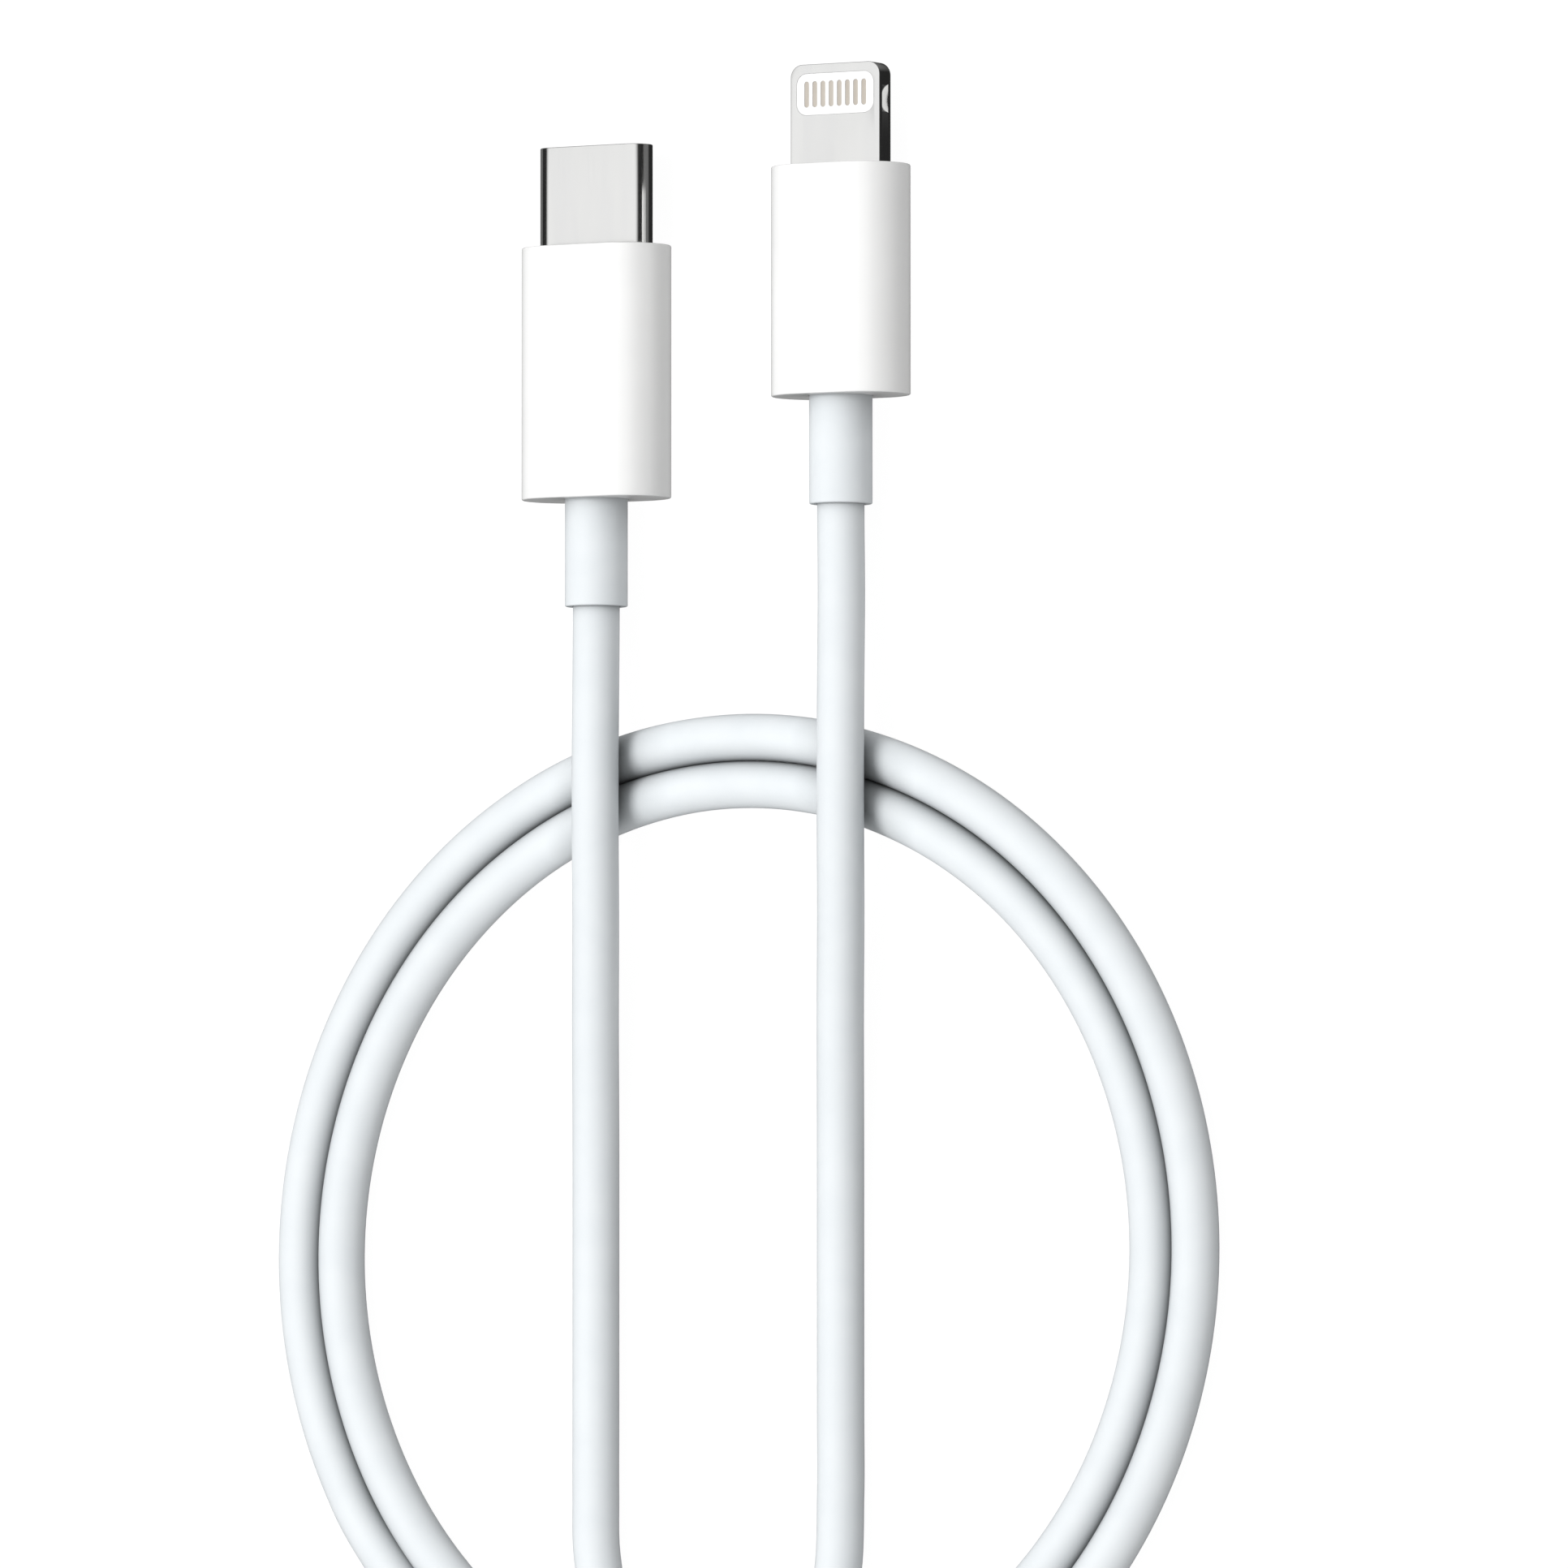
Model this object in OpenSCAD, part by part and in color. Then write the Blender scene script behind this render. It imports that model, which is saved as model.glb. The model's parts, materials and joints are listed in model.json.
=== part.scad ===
// Charging cable: a Type-C plug and an eight-contact reversible plug on one round cord that lies
// in a flat ring of two turns. The plugs point along +Y and rest on z = 0. The origin is the
// centre of the Type-C housing's flat underside. All sizes are in millimetres.

/* [Plug housings] */
// Thickness of both plug housings, from flat side to flat side
housing_h = 6.1; // [5.9:0.1:6.4]
// Wall of both plug housings
housing_wall = 0.7; // [0.6:0.05:0.8]
// Width of the Type-C housing
type_c_w = 10.5; // [10.4:0.1:11.2]
// Length of the Type-C housing
type_c_l = 16.7; // [16.2:0.1:17.5]
// Width of the eight-contact housing
eight_pin_w = 9.6; // [9.3:0.1:10]
// Length of the eight-contact housing
eight_pin_l = 15.1; // [14.8:0.1:16]

/* [Type-C shell] */
// Width of the steel shell
shell_w = 8.25; // [8.2:0.05:8.3]
// Thickness of the steel shell
shell_h = 2.4; // [2.35:0.05:2.45]
// Length of the shell that stands out of the housing
shell_reach = 6.65; // [6.5:0.05:6.8]
// Wall of the steel shell
shell_wall = 0.25; // [0.2:0.05:0.25]

/* [Eight-contact tab] */
// Width of the metal tab
tab_w = 6.7; // [6.6:0.05:6.8]
// Thickness of the metal tab
tab_h = 1.5; // [1.45:0.05:1.55]
// Length of the tab that stands out of the housing
tab_reach = 6.7; // [6.4:0.05:6.8]
// Radius of the tab's front corners
tab_corner = 0.85; // [0.5:0.05:1]

/* [Cord] */
// Diameter of the cord
cord_d = 3.1; // [3:0.05:3.15]
// Diameter of the strain relief collars
collar_d = 4.15; // [4:0.05:4.2]
// Length of the collars outside the housings
collar_l = 7.1; // [6.8:0.05:7.5]

/* [Hidden] */
$fn = 64;

// Cuts run past a face by this much
over = 0.05;
// Gap between two pieces that sit in each other
gap = 0.05;
// Height of both plugs' long axes
axis_z = housing_h / 2;

// Distance between the two plugs' long axes
plug_spacing = 18.6;

// Where each plug's housing starts and ends along Y
type_c_back = -type_c_l / 2;
type_c_front = type_c_l / 2;
eight_pin_front = 12.9;
eight_pin_back = eight_pin_front - eight_pin_l;

// Inside of a housing, counted from its back face
rear_wall = 1;
cover_t = 0.8;
flange_d = 4.5;
flange_t = 0.8;
cavity_h = housing_h - 2 * housing_wall;
mould_start = rear_wall + flange_t + 0.15;
crimp_l = 1.3;
crimp_d = 3.9;
jacket_end = mould_start + crimp_l + gap;
can_start = jacket_end + 0.6;
can_h = 3;
can_wall = 0.2;
board_t = 0.6;
board_start = can_start + 0.5;
chip_side = 2.4;
chip_h = 0.6;
chip_from_back = 8.5;
wire_d = 0.6;
wire_pitch = 0.7;
wire_on_board = 1.6;
wire_z = board_t / 2 + wire_d / 2;
wire_hole_d = 2.9;

// Type-C plug
shell_inside = 3.35;
shell_rear = type_c_front - shell_inside;
shell_tip = type_c_front + shell_reach;
type_c_can_w = 7.2;
type_c_board_w = 6;
carrier_tip = shell_tip - 0.4;
carrier_rear = shell_rear + 0.1;
carrier_board_depth = 0.9;
tongue_w = 6.9;
tongue_h = 0.86;
tongue_depth = 4.9;
c_contact_count = 12;
c_contact_pitch = 0.5;
c_contact_w = 0.25;
c_contact_t = 0.12;
c_contact_tip = carrier_tip - 0.4;
c_contact_on_board = 1;
latch_x = 3.3;
latch_t = 0.2;
latch_h = 1;
latch_rear = carrier_rear + 1.5;
latch_tip = carrier_tip - 0.3;
latch_bump = 0.15;
latch_bump_l = 0.8;
latch_bump_back = 0.5;
latch_room_x = 3.05;
latch_room_rear = 0.2;
latch_room_h = 1.12;

// Eight-contact plug
eight_pin_can_w = 6;
eight_pin_board_w = 5.2;
tab_rear = eight_pin_front - 3.7;
tab_tip = eight_pin_front + tab_reach;
tab_root_w = 7.2;
tab_root_h = 2.2;
tab_root_l = 2;
window_w = 5.8;
window_l = 2.75;
window_from_tip = 0.6;
board_tip = tab_tip - window_from_tip - 0.4;
pad_count = 8;
pad_pitch = 0.615;
pad_w = 0.34;
pad_l = 1.7;
recess_r = 1.7;
recess_depth = 0.28;
recess_h = 0.8;
recess_from_tip = 2.4;

// The ring of cord: its centre and the centrelines of its two turns
ring_x = 10.2;
ring_y = -58.2;
inner_turn_r = 30.8;
outer_turn_r = 33.9;
cord_sides = 8;
// Centre of the cord from the Type-C plug to the inner turn: over the ring's top, then down flat
type_c_run = [
    [0, type_c_back + jacket_end, axis_z], [0, -11, axis_z], [0, -16, axis_z],
    [0.5, -20.5, 3.95], [0.9, -25.5, 4.7], [0.9, -30, 4.7], [0.5, -36, 3.95],
    [-0.2, -43, 2.8], [-0.7, -50, 1.9], [-0.9, -57, 1.55], [-0.9, -63, 1.55],
    [-0.9, -69, 1.55], [-0.9, -74, 1.55], [-0.8, -78, 1.55], [0.1, -81.7, 1.55], [2.8, -85.7, 1.55],
    [6.9, -88.3, 1.55], [11.7, -89, 1.55]
];
// Centre of the cord from the outer turn, over the ring's bottom and its top, to the other plug
eight_pin_run = [
    [-11.6, -84.2, 2.3], [-7.8, -86.9, 3.8], [-3.6, -89.2, 4.7], [0.9, -90.8, 4.7],
    [5.7, -91.6, 4.7], [10.4, -90.6, 4.7], [14.3, -87.9, 4.7], [16.9, -83.9, 3.4],
    [17.7, -79.6, 2.1], [17.7, -74, 1.55], [17.7, -69, 1.55], [17.7, -63, 1.55],
    [17.7, -57, 1.55], [17.9, -50, 1.9], [18.4, -43, 2.8], [19.1, -36, 3.95],
    [19.5, -30, 4.7], [19.5, -25.5, 4.7], [19.2, -20, 4.1], [18.9, -15, 3.5],
    [plug_spacing, -10, axis_z], [plug_spacing, -5, axis_z],
    [plug_spacing, eight_pin_back + jacket_end, axis_z]
];

// Colours
gloss_white = [0.96, 0.96, 0.95];
soft_white = [0.9, 0.92, 0.93];
steel = [0.8, 0.8, 0.8];
gold = [0.82, 0.76, 0.66];
board_green = [0.1, 0.35, 0.2];
chip_black = [0.1, 0.1, 0.1];
mould_grey = [0.75, 0.76, 0.78];
wire_red = [0.75, 0.1, 0.1];
wire_black = [0.08, 0.08, 0.08];
wire_green = [0.1, 0.5, 0.25];

// ---------- shared shapes ----------

// A flat shape drawn in X and Z about the plugs' axis, drawn out along Y
module along_y(y0, y1) {
    translate([0, y1, axis_z]) rotate([90, 0, 0]) linear_extrude(y1 - y0) children();
}

// A slot shape with two half-round ends
module stadium(w, h) {
    square([w - h, h], center = true);
    for (side = [-1, 1])
        translate([side * (w - h) / 2, 0]) circle(d = h);
}

// Everything of the eight-contact plug stands beside the Type-C plug
module beside() {
    translate([plug_spacing, 0, 0]) children();
}

// Outer sleeve, open in front, with a hole for the collar behind
module housing_sleeve(w, back, front) {
    difference() {
        along_y(back, front) stadium(w, housing_h);
        along_y(back + rear_wall, front + over) stadium(w - 2 * housing_wall, cavity_h);
        along_y(back - over, back + rear_wall + over) circle(d = collar_d + gap);
    }
}

// Plate that closes the front of a sleeve, around what comes out of it
module cover_plate(w, front) {
    difference() {
        along_y(front - cover_t, front)
            stadium(w - 2 * housing_wall - gap, cavity_h - gap);
        along_y(front - cover_t - over, front + over) children();
    }
}

// Soft collar with an inner flange that the sleeve's rear wall holds back
module collar(back) {
    difference() {
        union() {
            along_y(back - collar_l, back + rear_wall + gap) circle(d = collar_d);
            along_y(back + rear_wall + gap, back + rear_wall + flange_t) circle(d = flange_d);
        }
        along_y(back - collar_l - over, back + rear_wall + flange_t + over)
            circle(d = cord_d + gap);
    }
}

// Metal ring crimped on the jacket's end
module crimp(back) {
    along_y(back + mould_start, back + mould_start + crimp_l) difference() {
        circle(d = crimp_d);
        circle(d = cord_d + gap);
    }
}

// Folded metal box around the board, open towards the contacts, with a hole for the wires
module can(back, w, front) {
    difference() {
        along_y(back + can_start, front) square([w, can_h], center = true);
        along_y(back + can_start + can_wall, front + over)
            square([w - 2 * can_wall, can_h - 2 * can_wall], center = true);
        along_y(back + can_start - over, back + can_start + can_wall + over)
            circle(d = wire_hole_d);
    }
}

// Moulded filling between the sleeve and the metal parts
module mould(w, back, front, can_w, can_front) {
    difference() {
        along_y(back + mould_start, front - cover_t - gap)
            stadium(w - 2 * housing_wall - gap, cavity_h - gap);
        along_y(back + mould_start - over, back + jacket_end + over) circle(d = crimp_d + gap);
        along_y(back + jacket_end, back + can_start + over) circle(d = wire_hole_d);
        along_y(back + can_start - gap, can_front + gap)
            square([can_w + gap, can_h + gap], center = true);
        children();
    }
}

// Board with its long side along Y
module board(back, w, front) {
    along_y(back + board_start, front) square([w, board_t], center = true);
}

// Square chip on the board's upper face
module chip(back) {
    translate([-chip_side / 2, back + chip_from_back - chip_side / 2, axis_z + board_t / 2])
        cube([chip_side, chip_side, chip_h]);
}

// Insulated wires from the jacket's end to the board, at the given places across it
module wires(back, places) {
    for (place = places)
        translate([place * wire_pitch, 0, wire_z])
            along_y(back + jacket_end + gap, back + board_start + wire_on_board)
                circle(d = wire_d);
}

// ---------- Type-C plug ----------

module type_c_housing() {
    color(gloss_white) housing_sleeve(type_c_w, type_c_back, type_c_front);
}

module type_c_front_cover() {
    color(gloss_white) cover_plate(type_c_w, type_c_front) stadium(shell_w + gap, shell_h + gap);
}

module type_c_shell() {
    color(steel) along_y(shell_rear, shell_tip) difference() {
        stadium(shell_w, shell_h);
        stadium(shell_w - 2 * shell_wall, shell_h - 2 * shell_wall);
    }
}

// Places of a row of contacts across the plug
function row_places(count, pitch) = [for (i = [0 : count - 1]) (i - (count - 1) / 2) * pitch];

// Twelve flat strips; side is 1 above the tongue and -1 below it
module c_contact_row(side, w, t, y0, y1) {
    for (x = row_places(c_contact_count, c_contact_pitch))
        translate([x, 0, side * (board_t + c_contact_t) / 2])
            along_y(y0, y1) square([w, t], center = true);
}

module type_c_contact_carrier() {
    slit = 0.04;
    color(chip_black) difference() {
        along_y(carrier_rear, carrier_tip)
            stadium(shell_w - 2 * shell_wall - gap, shell_h - 2 * shell_wall - gap);
        along_y(carrier_tip - tongue_depth, carrier_tip + over)
            square([tongue_w, tongue_h], center = true);
        along_y(carrier_rear - over, carrier_rear + carrier_board_depth + gap)
            square([type_c_board_w + gap, board_t + gap], center = true);
        for (side = [-1, 1]) {
            c_contact_row(side, c_contact_w + slit, c_contact_t + slit,
                carrier_rear - over, carrier_tip - tongue_depth + over);
            translate([side * (latch_room_x + shell_w / 2) / 2, 0, 0])
                along_y(latch_rear - latch_room_rear, carrier_tip + over)
                    square([shell_w / 2 - latch_room_x, latch_room_h], center = true);
        }
    }
}

module type_c_upper_contacts() {
    color(gold) c_contact_row(1, c_contact_w, c_contact_t,
        carrier_rear - c_contact_on_board, c_contact_tip);
}

module type_c_lower_contacts() {
    color(gold) c_contact_row(-1, c_contact_w, c_contact_t,
        carrier_rear - c_contact_on_board, c_contact_tip);
}

// Spring arm beside the tongue, with an inward bump near its tip
module latch(side) {
    bump_y = latch_tip - latch_bump_back - latch_bump_l;
    translate([side * (latch_x + latch_t / 2), 0, 0])
        along_y(latch_rear, latch_tip) square([latch_t, latch_h], center = true);
    translate([side * latch_x, 0, axis_z - latch_h / 2]) linear_extrude(latch_h) polygon([
        [0, bump_y], [-side * latch_bump, bump_y + latch_bump_l / 2], [0, bump_y + latch_bump_l]
    ]);
}

module type_c_left_latch() {
    color(steel) latch(-1);
}

module type_c_right_latch() {
    color(steel) latch(1);
}

module type_c_circuit_board() {
    color(board_green) board(type_c_back, type_c_board_w, carrier_rear + carrier_board_depth);
}

module type_c_control_chip() {
    color(chip_black) chip(type_c_back);
}

module type_c_shield_can() {
    color(steel) can(type_c_back, type_c_can_w, shell_rear - gap);
}

module type_c_inner_mould() {
    color(mould_grey)
        mould(type_c_w, type_c_back, type_c_front, type_c_can_w, shell_rear - gap)
            along_y(shell_rear - gap, type_c_front) stadium(shell_w + gap, shell_h + gap);
}

module type_c_crimp_ring() {
    color(steel) crimp(type_c_back);
}

module type_c_strain_relief() {
    color(soft_white) collar(type_c_back);
}

module type_c_power_wire() {
    color(wire_red) wires(type_c_back, [-1.5]);
}

module type_c_ground_wire() {
    color(wire_black) wires(type_c_back, [1.5]);
}

module type_c_data_wires() {
    color(wire_green) wires(type_c_back, [-0.5, 0.5]);
}

// ---------- eight-contact plug ----------

module eight_pin_housing() {
    color(gloss_white) beside() housing_sleeve(eight_pin_w, eight_pin_back, eight_pin_front);
}

module eight_pin_front_cover() {
    color(gloss_white) beside() cover_plate(eight_pin_w, eight_pin_front)
        square([tab_w + gap, tab_h + gap], center = true);
}

// The tab's plan, with two round front corners
module tab_plan() {
    translate([-tab_w / 2, tab_rear]) square([tab_w, tab_tip - tab_corner - tab_rear]);
    translate([-tab_w / 2 + tab_corner, tab_rear])
        square([tab_w - 2 * tab_corner, tab_tip - tab_rear]);
    for (side = [-1, 1])
        translate([side * (tab_w / 2 - tab_corner), tab_tip - tab_corner])
            circle(r = tab_corner);
}

// The middle of the tab's window
module at_window() {
    translate([0, tab_tip - window_from_tip - window_l / 2, axis_z]) children();
}

// Metal tongue with a window for the contacts and a scooped recess in each side for the socket's
// springs
module eight_pin_tab() {
    color(steel) beside() difference() {
        union() {
            translate([0, 0, axis_z - tab_h / 2]) linear_extrude(tab_h) tab_plan();
            along_y(tab_rear, tab_rear + tab_root_l)
                square([tab_root_w, tab_root_h], center = true);
        }
        at_window() cube([window_w + gap, window_l + gap, tab_h + over], center = true);
        along_y(tab_rear - over, tab_tip - window_from_tip - window_l / 2)
            square([eight_pin_board_w + gap, board_t + gap], center = true);
        for (side = [-1, 1])
            translate([
                side * (tab_w / 2 + recess_r - recess_depth), tab_tip - recess_from_tip, axis_z
            ])
                cylinder(r = recess_r, h = recess_h, center = true);
    }
}

// Eight flat pads; side is 1 on the upper face and -1 on the lower one
module pad_row(side, grow) {
    pad_t = (tab_h - board_t) / 2;
    for (x = row_places(pad_count, pad_pitch))
        translate([x, 0, side * (board_t + pad_t) / 2]) at_window()
            cube([pad_w + grow, pad_l + grow, pad_t + grow], center = true);
}

module eight_pin_contact_block() {
    pad_gap = 0.02;
    color(gloss_white) beside() difference() {
        at_window() cube([window_w, window_l, tab_h], center = true);
        along_y(tab_rear, board_tip + gap)
            square([eight_pin_board_w + gap, board_t + pad_gap], center = true);
        for (side = [-1, 1])
            pad_row(side, pad_gap);
    }
}

module eight_pin_upper_contacts() {
    color(gold) beside() pad_row(1, 0);
}

module eight_pin_lower_contacts() {
    color(gold) beside() pad_row(-1, 0);
}

module eight_pin_circuit_board() {
    color(board_green) beside()
        board(eight_pin_back, eight_pin_board_w, board_tip);
}

module eight_pin_control_chip() {
    color(chip_black) beside() chip(eight_pin_back);
}

module eight_pin_shield_can() {
    color(steel) beside() can(eight_pin_back, eight_pin_can_w, tab_rear - gap);
}

module eight_pin_inner_mould() {
    color(mould_grey) beside()
        mould(eight_pin_w, eight_pin_back, eight_pin_front, eight_pin_can_w, tab_rear - gap) {
            along_y(tab_rear - gap, tab_rear + tab_root_l + gap)
                square([tab_root_w + gap, tab_root_h + gap], center = true);
            along_y(tab_rear, eight_pin_front) square([tab_w + gap, tab_h + gap], center = true);
        }
}

module eight_pin_crimp_ring() {
    color(steel) beside() crimp(eight_pin_back);
}

module eight_pin_strain_relief() {
    color(soft_white) beside() collar(eight_pin_back);
}

module eight_pin_power_wire() {
    color(wire_red) beside() wires(eight_pin_back, [-1.5]);
}

module eight_pin_ground_wire() {
    color(wire_black) beside() wires(eight_pin_back, [1.5]);
}

module eight_pin_data_wires() {
    color(wire_green) beside() wires(eight_pin_back, [-0.5, 0.5]);
}

// ---------- cord ----------

// Direction of the route at point i
function heading(route, i) =
    let (a = route[max(i - 1, 0)], b = route[min(i + 1, len(route) - 1)], d = b - a)
    d / norm(d);

// One ring of points around the route at point i, square to its heading
function ring_at(route, i) =
    let (
        f = heading(route, i),
        side_flat = [f[1], -f[0], 0],
        side = side_flat / norm(side_flat),
        up = cross(side, f)
    )
    [for (k = [0 : cord_sides - 1])
        let (a = 360 * (k + 0.5) / cord_sides)
        route[i] + cord_d / 2 * (cos(a) * side + sin(a) * up)];

// A closed tube along a route
module tube_along(route) {
    n = len(route);
    last = (n - 1) * cord_sides;
    points = [for (i = [0 : n - 1]) each ring_at(route, i)];
    sides = [for (i = [0 : n - 2]) for (k = [0 : cord_sides - 1])
        let (j = (k + 1) % cord_sides, a = i * cord_sides, b = a + cord_sides)
        each [[a + k, b + j, a + j], [a + k, b + k, b + j]]];
    start_cap = [[for (k = [0 : cord_sides - 1]) k]];
    end_cap = [[for (k = [cord_sides - 1 : -1 : 0]) last + k]];
    polyhedron(points = points, faces = concat(sides, start_cap, end_cap));
}

module cord_type_c_run() {
    color(soft_white) tube_along(type_c_run);
}

module cord_coil() {
    color(soft_white) translate([ring_x, ring_y, 0]) rotate_extrude()
        translate([inner_turn_r - cord_d / 2, 0])
            square([outer_turn_r - inner_turn_r + cord_d, cord_d]);
}

module cord_eight_pin_run() {
    color(soft_white) tube_along(eight_pin_run);
}

type_c_housing();
type_c_front_cover();
type_c_shell();
type_c_contact_carrier();
type_c_upper_contacts();
type_c_lower_contacts();
type_c_left_latch();
type_c_right_latch();
type_c_circuit_board();
type_c_control_chip();
type_c_shield_can();
type_c_inner_mould();
type_c_crimp_ring();
type_c_strain_relief();
type_c_power_wire();
type_c_ground_wire();
type_c_data_wires();
eight_pin_housing();
eight_pin_front_cover();
eight_pin_tab();
eight_pin_contact_block();
eight_pin_upper_contacts();
eight_pin_lower_contacts();
eight_pin_circuit_board();
eight_pin_control_chip();
eight_pin_shield_can();
eight_pin_inner_mould();
eight_pin_crimp_ring();
eight_pin_strain_relief();
eight_pin_power_wire();
eight_pin_ground_wire();
eight_pin_data_wires();
cord_type_c_run();
cord_coil();
cord_eight_pin_run();
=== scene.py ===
"""Charging cable: a Type-C plug and an eight-contact reversible plug on one round white cord that lies
in a flat ring of two turns. Lengths are in metres, in the CAD frame: the plugs point along +Y and lie
on z = 0. Names that start with C_ belong to the Type-C plug, and with E_ to the eight-contact plug."""

import json
import math

import bmesh
import bpy
from mathutils import Matrix, Vector


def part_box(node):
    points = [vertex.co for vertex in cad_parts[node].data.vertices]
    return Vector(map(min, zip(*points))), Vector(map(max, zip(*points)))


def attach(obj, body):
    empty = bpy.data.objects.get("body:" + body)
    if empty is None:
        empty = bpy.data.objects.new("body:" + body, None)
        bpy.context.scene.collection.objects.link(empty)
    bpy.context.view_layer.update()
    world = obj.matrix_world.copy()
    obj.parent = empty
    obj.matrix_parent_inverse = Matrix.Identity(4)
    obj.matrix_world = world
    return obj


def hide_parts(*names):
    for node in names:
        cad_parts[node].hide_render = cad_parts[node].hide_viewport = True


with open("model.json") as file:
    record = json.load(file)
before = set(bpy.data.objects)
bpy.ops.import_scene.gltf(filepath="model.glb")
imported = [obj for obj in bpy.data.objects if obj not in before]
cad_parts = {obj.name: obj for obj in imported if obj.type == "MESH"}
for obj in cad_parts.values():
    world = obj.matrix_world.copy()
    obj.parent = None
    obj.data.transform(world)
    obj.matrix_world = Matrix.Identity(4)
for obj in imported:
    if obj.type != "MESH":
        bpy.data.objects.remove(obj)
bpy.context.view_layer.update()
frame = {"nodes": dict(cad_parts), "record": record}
MM = 0.001

# ---------------------------------------------------------------- sizes taken from the frame
C_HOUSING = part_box("type_c_housing")
C_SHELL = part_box("type_c_shell")
C_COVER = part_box("type_c_front_cover")
C_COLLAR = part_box("type_c_strain_relief")
E_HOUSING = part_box("eight_pin_housing")
E_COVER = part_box("eight_pin_front_cover")
E_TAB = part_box("eight_pin_tab")
E_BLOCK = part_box("eight_pin_contact_block")
E_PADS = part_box("eight_pin_upper_contacts")
E_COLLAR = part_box("eight_pin_strain_relief")

HOUSING_H = C_HOUSING[1][2] - C_HOUSING[0][2]
AXIS_Z = (C_HOUSING[0][2] + C_HOUSING[1][2]) / 2
C_X = 0
E_X = (E_HOUSING[0][0] + E_HOUSING[1][0]) / 2

# ---------------------------------------------------------------- sizes that the boxes don't show
HOUSING_WALL = 0.7 * MM
REAR_WALL = 1.0 * MM
COLLAR_D = 4.15 * MM
SHELL_WALL = 0.25 * MM
PLAY = 0.05 * MM
TAB_W = 6.7 * MM
TAB_H = 1.5 * MM
TAB_CORNER = 0.85 * MM
WINDOW_CORNER = 0.75 * MM
RECESS_R, RECESS_DEPTH, RECESS_FROM_TIP, RECESS_H = 1.7 * MM, 0.28 * MM, 2.4 * MM, 0.8 * MM
BLOCK_GAP, BLOCK_SUNK = 0.01 * MM, 0.02 * MM
PAD_COUNT, PAD_W, PAD_GAP, PAD_SUNK = 8, 0.34 * MM, 0.01 * MM, 0.03 * MM
# How much of a full half-round a contact's end is, so that its two corners don't meet in one point
PAD_ROUNDING = 0.98
BOARD_T, BOARD_SLOT_W, BOARD_SLOT_H = 0.6 * MM, 5.25 * MM, 0.65 * MM
BOARD_SLOT_SHORT = 0.3 * MM

# ---------------------------------------------------------------- the cord's route, in millimetres
# The same points as in the CAD source.
CORD_D = 3.1 * MM
RING_X, RING_Y = 10.2, -58.2
INNER_TURN_R, OUTER_TURN_R = 30.8, 33.9
TYPE_C_RUN = [
    (0, -5.05, 3.05), (0, -11, 3.05), (0, -16, 3.05), (0.5, -20.5, 3.95), (0.9, -25.5, 4.7),
    (0.9, -30, 4.7), (0.5, -36, 3.95), (-0.2, -43, 2.8), (-0.7, -50, 1.9), (-0.9, -57, 1.55),
    (-0.9, -63, 1.55), (-0.9, -69, 1.55), (-0.9, -74, 1.55), (-0.8, -78, 1.55),
    (0.1, -81.7, 1.55), (2.8, -85.7, 1.55), (6.9, -88.3, 1.55), (11.7, -89, 1.55),
]
EIGHT_PIN_RUN = [
    (-11.6, -84.2, 2.3), (-7.8, -86.9, 3.8), (-3.6, -89.2, 4.7), (0.9, -90.8, 4.7),
    (5.7, -91.6, 4.7), (10.4, -90.6, 4.7), (14.3, -87.9, 4.7), (16.9, -83.9, 3.4),
    (17.7, -79.6, 2.1), (17.7, -74, 1.55), (17.7, -69, 1.55), (17.7, -63, 1.55),
    (17.7, -57, 1.55), (17.9, -50, 1.9), (18.4, -43, 2.8), (19.1, -36, 3.95), (19.5, -30, 4.7),
    (19.5, -25.5, 4.7), (19.2, -20, 4.1), (18.9, -15, 3.5), (18.6, -10, 3.05), (18.6, -5, 3.05),
    (18.6, 1.1, 3.05),
]
# Where the coil's turns start and end, and where the cord moves from the inner to the outer turn
COIL_START, SHIFT_START, SHIFT_END, COIL_END = -82, 246, 266, 576
COIL_STEP = 6
ROUTE_STEP = 0.8 * MM
CORD_SIDES = 28


def smoothstep(t):
    t = min(1.0, max(0.0, t))
    return t * t * (3 - 2 * t)


def coil_points():
    """The two turns in millimetres, counter-clockwise, from the inner turn to the outer one."""
    points = []
    for angle in range(COIL_START, COIL_END + 1, COIL_STEP):
        shift = smoothstep((angle - SHIFT_START) / (SHIFT_END - SHIFT_START))
        radius = INNER_TURN_R + (OUTER_TURN_R - INNER_TURN_R) * shift
        a = math.radians(angle)
        points.append((RING_X + radius * math.cos(a), RING_Y + radius * math.sin(a), CORD_D / 2 / MM))
    return points


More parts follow.
